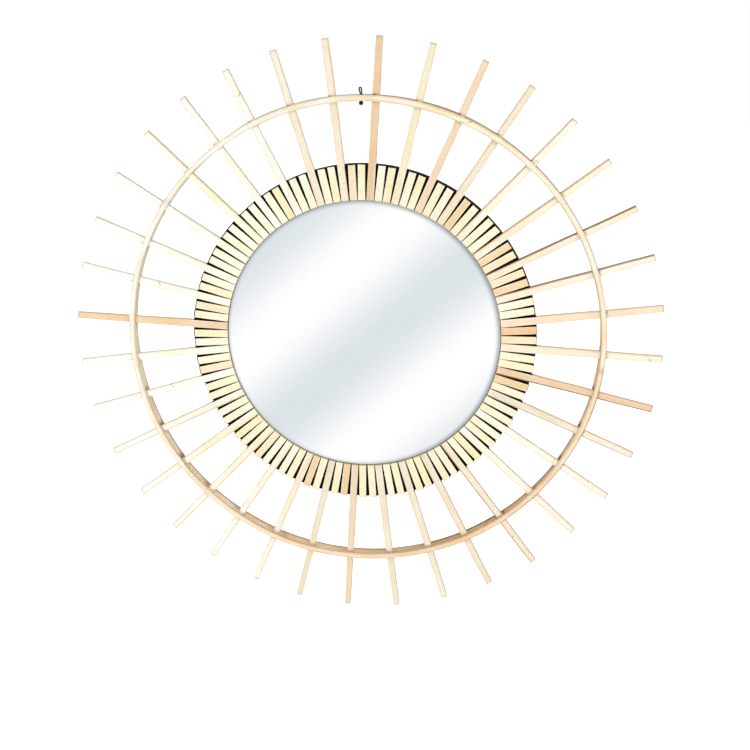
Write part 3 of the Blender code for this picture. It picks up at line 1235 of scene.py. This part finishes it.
    def weather(self, stick: Piece, at: Spoke, dice: Dice) -> None:
        """Crowns a stick's front, bends it a little and writes its maps.

        Args:
            stick: A copy of a blank, still along +Z.
            at: Where it will stand.
            dice: Where its irregularities come from.
        """
        mesh = stick.data
        outer = self.ring_radius if at.slat else self.tip_radius
        x, y, z = points_of(mesh).T.copy()
        free = np.clip((z - self.ring_radius) / (self.tip_radius - self.ring_radius), 0.0, 1.0)
        half = (self.width + (self.tip_width - self.width) * free) / 2
        across = np.clip(x / half, -1.0, 1.0)
        depth = (self.layout.stick_back - y) / (self.layout.stick_back - self.layout.stick_front)
        write_values(mesh, PLACE_NAME, np.stack([across, z, 1.0 - depth], 1))
        write_values(mesh, TIP_NAME, outer - z - self.painted_end(at))
        offset = dice.uniform(0.0, 4.0, 2)
        write_map(mesh, np.stack([x - y + offset[0], z + offset[1]], 1))

        slim = at.value(self.slimming) - dice.uniform(0.0, self.thinning)
        x *= slim + self.waver * wander(z, self.waver_period, dice)
        y += depth * self.crown * across**2 + depth * dice.uniform(0.0, self.sinking)
        y += depth * self.ripple * (1 + wander(z, self.ripple_period, dice)) / 2
        x += free * dice.uniform(-self.stray, self.stray)
        x += free * self.bend * wander(z, self.bend_period, dice)
        tail = np.clip((z - outer + self.shortened_length) / self.shortened_length, 0.0, 1.0)
        z += tail * (x * dice.uniform(-self.skew, self.skew) - dice.uniform(*self.shortening))
        move_points(mesh, np.stack([x, y, z], 1))

    def tone(self, at: Spoke, dice: Dice) -> Array:
        """Picks a stick's colour.

        Args:
            at: Where it stands.
            dice: Where the choice among the usual tones comes from.

        Returns:
            The colour.
        """
        named = self.slat_tones.get((at.group, at.slat)) if at.slat else self.ray_tones.get(at.group)
        drawn = self.usual_tones[at.slat > 0][at.group in self.glare_groups][int(dice.integers(3))]
        shade = at.value(self.shading)
        shade = (1.0 + shade) / 2 if at.slat else shade
        return np.array((named or drawn).value) * dice.uniform(self.darkest, 1.0) * shade

    def tip_glare_amount(self, at: Spoke) -> float:
        """How much painted light pales a stick towards its tip, 0 to 1. Slats and rays of a named tone get
        none.
        """
        return 0.0 if at.slat or at.group in self.ray_tones else at.value(self.tip_glare)

    def marks(self, at: Spoke) -> tuple[float, ...]:
        """A stick's leaf scar's radius, skin with painted shade and tan stripe, each 0 for none, as on all
        slats.
        """
        kinds = (self.scars, self.skin_and_shade, self.stripes)
        return tuple(0.0 if at.slat else kind.get(at.group, 0.0) for kind in kinds)

    def is_rimmed(self, at: Spoke) -> bool:
        """Whether black shows outside a stick's end, as it does at the top and left."""
        return not self.rim_to_deg < at.degrees < self.rim_from_deg

    def painted_end(self, at: Spoke) -> float:
        """How much of a stick's outer end is black.

        Args:
            at: Where it stands.

        Returns:
            The length, in metres: the board's paint runs on at the top and left.
        """
        if at.slat == 0:
            return 0.0
        return at.value(self.rim_paint) if self.is_rimmed(at) else self.end_paint

    def place_stick(self, blank: Piece, at: Spoke, dice: Dice) -> Piece:
        """Copies a blank, weathers it and stands it in its place.

        Args:
            blank: The stick to copy.
            at: Where it stands.
            dice: Where its irregularities come from.

        Returns:
            The stick in place.
        """
        made = copy_of(blank)
        count = len(made.data.vertices)
        write_values(made.data, TONE_NAME, np.tile([*self.tone(at, dice), self.tip_glare_amount(at)], (count, 1)))
        write_values(made.data, MARKS_NAME, np.tile(self.marks(at), (count, 1)))
        self.weather(made, at, dice)
        made.data.transform(self.turn_to(at, dice.uniform(-self.turn_off_deg, self.turn_off_deg)))
        return made

    def place_fill(self, wedge: Piece, at: Spoke) -> Piece:
        """Copies the black wedge, painted shade of the slits, shorter where no black shows outside the
        ring.

        Args:
            wedge: The wedge to copy.
            at: The stick that it lies under.

        Returns:
            The wedge in place.
        """
        fill = copy_of(wedge)
        if not self.is_rimmed(at):
            places = points_of(fill.data)
            places[:, 2] = np.minimum(places[:, 2], self.fill_radii[1] - self.fill_short)
            move_points(fill.data, places)
        fill.data.transform(self.turn_to(at))
        return fill

    def build(self) -> list[Piece]:
        """Builds every group of a ray and its slats.

        Returns:
            The groups, one object each.
        """
        ray = self.stick_blank("ray_blank", self.tip_radius, 14)
        slat = self.stick_blank("slat_blank", self.ring_radius, 7)
        wedge = self.fill_blank()
        dice = np.random.default_rng(self.seed)
        groups = []
        for group in range(self.ray_count):
            spokes = [self.spoke(group, number) for number in range(self.slats_per_ray + 1)]
            parts = [self.place_stick(slat if at.slat else ray, at, dice) for at in spokes]
            choose(*parts, *(self.place_fill(wedge, at) for at in spokes))
            bpy.ops.object.join()
            piece = bpy.context.object
            piece.name = f"sticks_{group + 1:02d}"
            finish(piece, f"ray_and_slats_{group + 1:02d}", 50.0)
            groups.append(piece)
        for blank in (ray, slat, wedge):
            bpy.data.objects.remove(blank, do_unlink=True)
        return groups


def apart(degrees: Array, at: float) -> Array:
    """How many degrees lie between some angles and one angle, from 0 to 180."""
    return np.abs((degrees - at + 180.0) % 360.0 - 180.0)


@dataclass(frozen=True)
class CaneStripe:
    """A brown stripe along a part of a hoop: some skin left on the cane, and painted shade, mostly on
    sides that face up, away from the light.

    Its middle is clockwise from the top, in degrees, and about the cane's own axis it lies at 0 in
    front, at 90 outside and at -90 inside.
    """

    middle: float
    half_length: float
    about: float
    half_width: float
    strength: float
    end_fade: float = 8.0
    side_fade: float = 12.0

    def on(self, angle: Array, about: Array) -> Array:
        """How strong the stripe is at some angles of the hoop and of its section.

        Args:
            angle: Clockwise from the top, in radians.
            about: About the cane's axis, in radians.

        Returns:
            The strengths, 0 to 1.
        """
        along = apart(np.degrees(angle), self.middle)
        off = apart(np.degrees(about), self.about)
        length = np.clip((self.half_length - along) / self.end_fade, 0.0, 1.0)
        return self.strength * length * np.clip((self.half_width - off) / self.side_fade, 0.0, 1.0)


def hump(gap: Array, width: float) -> Array:
    """A rounded hump, 1 where the gap is 0 and near 0 from twice the width."""
    return np.exp(-((gap / width) ** 2))


@dataclass
class Hoop:
    """A round cane bent to a ring, with its growth nodes and the scarf where its ends meet."""

    layout: Layout
    name: str
    node: str
    y: float
    material: Material
    scarf_deg: float
    node_degs: tuple[float, ...]
    seed: int
    tints_and_light: tuple[tuple[float, int, int, int], ...]
    stripes: tuple[CaneStripe, ...]
    skin_and_shade: Stops = ((0.0, 0.35),)
    ray_shadow_deg: tuple[float, float] = (0.0, 0.0)
    steps: int = 288
    sides: int = 20
    slack: float = 0.16 * MM
    swelling: float = 0.028
    swelling_waves: int = 7
    sway: float = 0.45 * MM
    sway_waves: int = 3
    patchiness: float = 0.25
    patch_waves: int = 11
    skin_and_shade_from: float = 0.2
    skin_and_shade_fade: float = 0.5
    scarf_length: float = 24 * MM
    scarf_depth: float = 0.35 * MM
    scarf_width: float = 0.7 * MM
    scarf_slant: float = 0.42
    scarf_turn: float = 0.6
    node_swell: float = 0.12 * MM
    node_width: float = 1.6 * MM
    node_mark: float = 0.4
    node_mark_width: float = 0.9 * MM
    scarf_mark: float = 0.75
    ray_shadow_mark: float = 0.85
    ray_shadow_off: float = 4.9 * MM
    ray_shadow_width: float = 1.5 * MM

    def ring(self) -> Piece:
        """Bends the plain cane.

        Returns:
            A torus that faces the room, with more cross cuts at the scarf.
        """
        choose()
        bpy.ops.mesh.primitive_torus_add(
            align="WORLD",
            location=tuple(self.layout.hub + Vector((0.0, self.y, 0.0))),
            rotation=(math.radians(90), 0.0, 0.0),
            major_segments=self.steps,
            minor_segments=self.sides,
            major_radius=self.layout.hoop_radius,
            minor_radius=self.layout.hoop_thickness / 2 - self.slack,
        )
        hoop = fix_place(self.name)
        with editing(hoop):
            select(hoop, Part.EDGE, self.along_scarf)
            bpy.ops.mesh.subdivide(number_cuts=4)
        return hoop

    def angle_of(self, place: Vector) -> float:
        """The angle of a place from the scarf.

        Args:
            place: The place.

        Returns:
            The angle, clockwise as seen from the room, from -pi to pi.
        """
        spot = place - self.layout.hub
        turned = math.atan2(spot.x, spot.z) - math.radians(self.scarf_deg)
        return (turned + math.pi) % FULL_TURN - math.pi

    def along_scarf(self, edge: Edge) -> bool:
        """Whether an edge runs along the cane near the scarf.

        Args:
            edge: The edge.

        Returns:
            True if it does.
        """
        first, second = (self.angle_of(vert.co) for vert in edge.verts)
        near = max(abs(first), abs(second)) < self.scarf_length / self.layout.hoop_radius
        return near and 0.5 < abs(first - second) / (FULL_TURN / self.steps) < 1.5

    def arc_between(self, angle: Array, degrees: float) -> Array:
        """The length of cane from one angle, in degrees, on to others, in metres and signed."""
        turned = (angle - math.radians(degrees) + math.pi) % FULL_TURN - math.pi
        return turned * self.layout.hoop_radius

    def glue(self, angle: Array) -> Array:
        """Painted shadow beside each ray low on the hoop, on the side that faces away from the middle.

        Args:
            angle: Clockwise from the top, in radians.

        Returns:
            How strong the painted shadow is, 0 to 1.
        """
        amount = np.zeros(len(angle))
        for ray in range(StickRing.ray_count):
            degrees = StickRing.first_ray_deg + ray * 360.0 / StickRing.ray_count
            if self.ray_shadow_deg[0] < degrees < self.ray_shadow_deg[1]:
                side = 1.0 if degrees > 180.0 else -1.0
                gap = self.arc_between(angle, degrees) * side - self.ray_shadow_off
                amount = np.maximum(amount, self.ray_shadow_mark * hump(gap, self.ray_shadow_width))
        return amount

    def tint_and_light(self, angle: Array) -> Array:
        """The cane's colour, blended between the listed colours: its own tone with painted light, palest
        on the left where the light washes it out.

        Args:
            angle: Clockwise from the top, in radians.

        Returns:
            Rows of red, green and blue.
        """
        stops = [at for at, *_ in self.tints_and_light]
        shades = np.array([srgb(*colour) for _, *colour in self.tints_and_light]).T
        degrees = np.degrees(angle) % 360.0
        return np.stack([np.interp(degrees, stops, shade, period=360.0) for shade in shades], 1)

    def build(self) -> Piece:
        """Builds the hoop.

        Returns:
            The hoop in place.
        """
        hoop = self.ring()
        mesh = hoop.data
        dice = np.random.default_rng(self.seed)
        hub = np.array(self.layout.hub)
        radius = self.layout.hoop_radius
        half = self.layout.hoop_thickness / 2
        x, y, z = (points_of(mesh) - hub).T.copy()
        angle = np.arctan2(x, z)
        out = np.hypot(x, z) - radius
        fore = y - self.y
        about = np.arctan2(out, -fore)
        from_scarf = self.arc_between(angle, self.scarf_deg)
        slant = self.scarf_slant * self.scarf_length * np.sin(about + self.scarf_turn)
        pinch = hump(from_scarf - slant, self.scarf_width)

        grow = 1.0 + self.swelling * closed_wave(angle, self.swelling_waves, dice)
        for degrees in self.node_degs:
            grow += self.node_swell / half * hump(self.arc_between(angle, degrees), self.node_width)
        grow -= self.scarf_depth / half * pinch
        new_radius = radius + out * grow + self.sway * closed_wave(angle, self.sway_waves, dice)
        new_y = self.y + fore * np.minimum(grow, 1.0 + self.slack / half)

        way = (angle - math.radians(self.scarf_deg)) % FULL_TURN * radius
        write_map(mesh, np.stack([about * half, way], 1), (FULL_TURN * half, FULL_TURN * radius))
        patchy = 1.0 + self.patchiness * (closed_wave(angle, self.patch_waves, dice) - 1.0)
        # Skin on the back half of the cane, with painted shade there, towards the board.
        skin = np.interp(np.degrees(angle) % 360.0, *zip(*self.skin_and_shade), period=360.0)
        behind = np.clip((fore / half - self.skin_and_shade_from) / self.skin_and_shade_fade, 0.0, 1.0)
        # Brown marks: the scarf and the nodes, skin with painted shade on the back, the rays' painted
        # shadows and the stripes.
        marks = [self.scarf_mark * pinch, skin * behind * patchy, self.glue(angle)]
        marks += [stripe.on(angle, about) * patchy for stripe in self.stripes]
        for degrees in self.node_degs:
            marks.append(self.node_mark * hump(self.arc_between(angle, degrees), self.node_mark_width))
        write_values(mesh, TONE_NAME, np.column_stack([self.tint_and_light(angle), np.max(marks, axis=0)]))
        moved = np.stack([new_radius * np.sin(angle), new_y, new_radius * np.cos(angle)], 1)
        move_points(mesh, moved + hub)
        mesh.materials.append(self.material)
        finish(hoop, self.node, 60.0)
        return hoop


@dataclass
class Disc:
    """A round flat piece about the hub, with rounded rims."""

    layout: Layout
    finishes: Finishes
    sides: int
    rounding: float
    rounding_steps: int

    def turn(self, name: str, radius: float, front: float, back: float) -> Piece:
        """Turns the disc.

        Args:
            name: The object's name.
            radius: The disc's radius.
            front: Its front in Y.
            back: Its back in Y.

        Returns:
            The disc, with its place in its mesh.
        """
        choose()
        bpy.ops.mesh.primitive_cylinder_add(
            vertices=self.sides,
            radius=radius,
            depth=back - front,
            location=tuple(self.layout.hub + Vector((0.0, (front + back) / 2, 0.0))),
            rotation=(math.radians(90), 0.0, 0.0),
        )
        disc = fix_place(name)
        with editing(disc):
            bevel(disc, lambda edge: bounds_face(edge, 1), self.rounding, self.rounding_steps)
        return disc


@dataclass
class BackingBoard(Disc):
    """The round board that carries glass and sticks, painted matt black."""

    sides: int = 192
    rounding: float = 0.6 * MM
    rounding_steps: int = 3

    def build(self) -> Piece:
        """Builds the board.

        Returns:
            The board in place.
        """
        radius = self.layout.board_radius
        board = self.turn("board", radius, self.layout.board_front, self.layout.board_back)
        with editing(board):
            select(board, Part.FACE, lambda face: abs(face.normal.y) > 0.999)
            bpy.ops.mesh.inset(thickness=radius / 3, use_individual=True)
        board.data.materials.append(self.finishes.paint)
        finish(board, "backing_board", 35.0)
        return board


@dataclass
class MirrorGlass(Disc):
    """The flat silvered disc, with its ground rim."""

    sides: int = 256
    rounding: float = 0.5 * MM
    rounding_steps: int = 2

    def build(self) -> Piece:
        """Builds the glass.

        Returns:
            The glass in place.
        """
        layout = self.layout
        glass = self.turn("glass", layout.glass_radius, layout.glass_front, layout.glass_back)
        glass.data.materials.append(self.finishes.silver)
        glass.data.materials.append(self.finishes.ground_edge)
        for face in glass.data.polygons:
            face.material_index = 0 if face.normal.y < -0.99 else 1
        finish(glass, "mirror_glass", 15.0)
        return glass


@dataclass
class WireEye:
    """One wire, doubled round the rear hoop: an eye above, a twisted knot below."""

    layout: Layout
    finishes: Finishes
    wire_thickness: float = 1.4 * MM
    eye_half_width: float = 1.15 * MM
    eye_leg: float = 3.7 * MM
    clearance: float = 0.25 * MM
    lean: float = 0.7 * MM
    twist_turns: float = 2.25
    twist_drop: float = 3.2 * MM
    twist_radius: float = 1.7 * MM
    twist_steps: int = 24
    wrap_steps: int = 8
    arch_steps: int = 10
    tail: Spot = (0.5 * MM, -0.3 * MM, -0.2 * MM)

    def route(self) -> list[Vector]:
        """The wire's way, from one cut tail to the other.

        Returns:
            Points from the middle of the rear hoop at the top.
        """
        half = self.wire_thickness / 2
        wrap = self.layout.hoop_thickness / 2 + self.clearance + half
        front = []
        for step in range(self.twist_steps + 1):
            share = step / self.twist_steps
            turn = FULL_TURN * self.twist_turns * (1 - share) - math.pi / 2
            strand = half + (self.twist_radius - half) * math.sin(math.pi * share) ** 1.4
            drop = -wrap - self.twist_drop * (1 - share)
            front.append(Vector((strand * math.cos(turn), strand * math.sin(turn), drop)))
        front.insert(0, front[0] + Vector(self.tail))
        for step in range(1, self.wrap_steps):
            share = step / self.wrap_steps
            turn = math.pi * (share - 0.5)
            side = self.eye_half_width * share
            front.append(Vector((side, -wrap * math.cos(turn), wrap * math.sin(turn))))
        back = [Vector((-spot.x, -spot.y, spot.z)) for spot in front]
        arch = []
        for step in range(self.arch_steps + 1):
            turn = math.pi * step / self.arch_steps
            rise = wrap + self.eye_leg + self.eye_half_width * math.sin(turn)
            arch.append(Vector((self.eye_half_width * math.cos(turn) - self.lean, 0.0, rise)))
        return front + arch + back[::-1]

    def build(self) -> Piece:
        """Builds the wire.

        Returns:
            The wire in place.
        """
        curve = bpy.data.curves.new("wire_eye", "CURVE")
        curve.dimensions = "3D"
        curve.bevel_depth = self.wire_thickness / 2
        curve.bevel_resolution = 4
        curve.use_fill_caps = True
        curve.resolution_u = 6
        route = self.route()
        spline = curve.splines.new("NURBS")
        spline.points.add(len(route) - 1)
        for point, spot in zip(spline.points, route):
            point.co = (*spot, 1.0)
        spline.order_u = 3
        spline.use_endpoint_u = True
        wire = bpy.data.objects.new("wire_eye", curve)
        bpy.context.collection.objects.link(wire)
        wire.location = self.layout.hub + Vector((0.0, self.layout.rear_hoop_y, self.layout.hoop_radius))
        choose(wire)
        bpy.ops.object.convert(target="MESH")
        wire = fix_place("wire_eye")
        wire.data.materials.append(self.finishes.wire)
        finish(wire, "hanging_loop", 60.0)
        return wire


@dataclass(frozen=True)
class SoftLight:
    """A square soft light that faces the hub, its place counted from there."""

    name: str
    place: Spot
    size: float
    watts: float

    def hang(self, hub: Vector) -> Piece:
        """Hangs the light.

        Args:
            hub: What it faces.

        Returns:
            The light.
        """
        data = bpy.data.lights.new(self.name, "AREA")
        data.size = self.size
        data.energy = self.watts
        light = bpy.data.objects.new(self.name, data)
        bpy.context.scene.collection.objects.link(light)
        light.location = hub + Vector(self.place)
        light.rotation_euler = (-Vector(self.place)).to_track_quat("-Z", "Y").to_euler()
        light.visible_camera = False
        light.visible_glossy = False
        return light


@dataclass
class Studio:
    """Camera, soft white light, pale floor and what the glass reflects."""

    layout: Layout
    camera_from_hub: Spot = (0.1391, -1.3339, 0.3639)
    look_yaw_deg: float = 8.671
    look_down_deg: float = 15.491
    roll_deg: float = -1.262
    lens_mm: float = 65.42
    sensor_mm: float = 36.0
    shift: tuple[float, float] = (0.10, -0.04)
    floor_below_hub: float = 1.5
    floor_size: float = 30.0
    ambient_above: float = 0.48
    ambient_below: float = 0.36
    band_across: float = 36.5
    band_up: float = -41.5
    band_phase: float = 1.417
    band_nearest: float = 0.2
    band_grey: Colour = srgb(221, 228, 232)
    band_white: Colour = (1.03, 1.03, 1.03)
    lights: tuple[SoftLight, ...] = (
        SoftLight("key", (-0.7, -2.2, -0.7), 1.2, 27.9),
        SoftLight("fill_top", (0.4, -2.2, 1.1), 1.6, 18.6),
        SoftLight("fill_right", (1.6, -1.1, 0.2), 0.8, 6.2),
        SoftLight("fill_back", (-0.6, 2.2, 0.9), 1.8, 18.6),
    )

    def place_camera(self) -> Piece:
        """Stands the camera at the photograph's viewing angle.

        Returns:
            The camera.
        """
        data = bpy.data.cameras.new("camera")
        data.lens = self.lens_mm
        data.sensor_width = self.sensor_mm
        data.shift_x, data.shift_y = self.shift
        camera = bpy.data.objects.new("camera", data)
        bpy.context.scene.collection.objects.link(camera)
        aim = Matrix.Rotation(math.radians(self.look_yaw_deg), 4, "Z")
        aim @= Matrix.Rotation(math.radians(90.0 - self.look_down_deg), 4, "X")
        aim @= Matrix.Rotation(math.radians(self.roll_deg), 4, "Z")
        spot = self.layout.hub + Vector((0.0, self.layout.stick_front, 0.0)) + Vector(self.camera_from_hub)
        camera.matrix_world = Matrix.Translation(spot) @ aim
        bpy.context.scene.camera = camera
        return camera

    def lay_floor(self) -> Piece:
        """Lays the pale floor well below the mirror.

        Returns:
            The floor.
        """
        choose()
        spot = self.layout.hub - Vector((0.0, 0.0, self.floor_below_hub))
        bpy.ops.mesh.primitive_grid_add(
            x_subdivisions=4, y_subdivisions=4, size=self.floor_size, location=tuple(spot)
        )
        floor = fix_place("floor")
        floor.data.materials.append(FloorFinish().build())
        floor.visible_glossy = False
        floor.visible_diffuse = False
        return floor

    def set_world(self) -> None:
        """White all round for the camera, soft slanting bands for what reflects."""
        world = bpy.data.worlds.new("studio")
        bpy.context.scene.world = world
        world.use_nodes = True
        tree = Tree(world.node_tree)
        world.node_tree.nodes.clear()
        right, forward, up = tree.split(tree.node("TexCoord").outputs["Generated"])
        away = tree.math("MAXIMUM", tree.math("ABSOLUTE", forward), self.band_nearest)
        slant = tree.scaled(tree.math("DIVIDE", right, away), self.band_across, self.band_phase)
        slant = tree.scaled(tree.math("DIVIDE", up, away), self.band_up, slant)
        band = tree.scaled(tree.math("COSINE", slant), 0.5, 0.5)
        bands = tree.blend(band, self.band_grey, self.band_white)
        from_below = tree.ramp(up, 0.5, -0.5)
        plain = tree.blend(from_below, (self.ambient_above,) * 3, (self.ambient_below,) * 3)
        path = tree.node("LightPath").outputs
        seen = tree.layers(plain, (path["Is Glossy Ray"], bands), (path["Is Camera Ray"], WHITE))
        tree.node("OutputWorld", tree.node("Background", seen).outputs[0])

    def build(self) -> None:
        """Sets camera, lights, floor and world."""
        bpy.context.scene.view_settings.view_transform = "Standard"
        self.place_camera()
        for light in self.lights:
            light.hang(self.layout.hub)
        self.lay_floor()
        self.set_world()


def main() -> None:
    """Builds the studio and every piece of the mirror, in order."""
    logging.basicConfig(level=logging.INFO, format="%(name)s: %(message)s")
    layout = Layout.from_frame()
    Studio(layout).build()
    finishes = Finishes.build(layout)
    BackingBoard(layout, finishes).build()
    MirrorGlass(layout, finishes).build()
    StickRing(layout, finishes).build()
    Hoop(
        layout, "hoop_front", "front_hoop", layout.front_hoop_y, finishes.front_cane,
        scarf_deg=24.0, node_degs=(8.0, 97.0, 160.0, 231.0, 305.0), seed=5,
        tints_and_light=(
            (10.0, 253, 243, 218), (60.0, 255, 247, 228), (90.0, 253, 238, 216), (125.0, 245, 223, 193),
            (152.0, 240, 213, 178), (188.0, 243, 224, 197), (215.0, 250, 235, 211),
            (245.0, 254, 245, 228), (285.0, 255, 254, 246), (325.0, 255, 253, 246),
        ),
        stripes=(
            CaneStripe(78.0, 28.0, -75.0, 42.0, 0.5), CaneStripe(119.0, 25.0, 64.0, 44.0, 0.6),
            CaneStripe(190.0, 70.0, -92.0, 38.0, 0.45),
        ),
    ).build()
    Hoop(
        layout, "hoop_rear", "rear_hoop", layout.rear_hoop_y, finishes.rear_cane,
        scarf_deg=147.0, node_degs=(40.0, 118.0, 201.0, 276.0, 338.0), seed=9,
        skin_and_shade=((20.0, 0.8), (215.0, 0.7), (255.0, 0.2), (310.0, 0.2), (345.0, 0.7)),
        tints_and_light=(
            (20.0, 232, 204, 170), (95.0, 224, 188, 160), (140.0, 240, 208, 170), (155.0, 236, 204, 165),
            (190.0, 245, 219, 186), (225.0, 248, 227, 198), (265.0, 253, 243, 224),
            (300.0, 254, 249, 236), (340.0, 245, 224, 194),
        ),
        stripes=(
            CaneStripe(1.0, 64.0, 78.0, 42.0, 0.85), CaneStripe(185.0, 78.0, -98.0, 40.0, 0.8),
            CaneStripe(143.0, 26.0, -90.0, 56.0, 0.9),
        ),
        ray_shadow_deg=(100.0, 262.0),
    ).build()
    WireEye(layout, finishes).build()


if __name__ == "__main__":
    main()
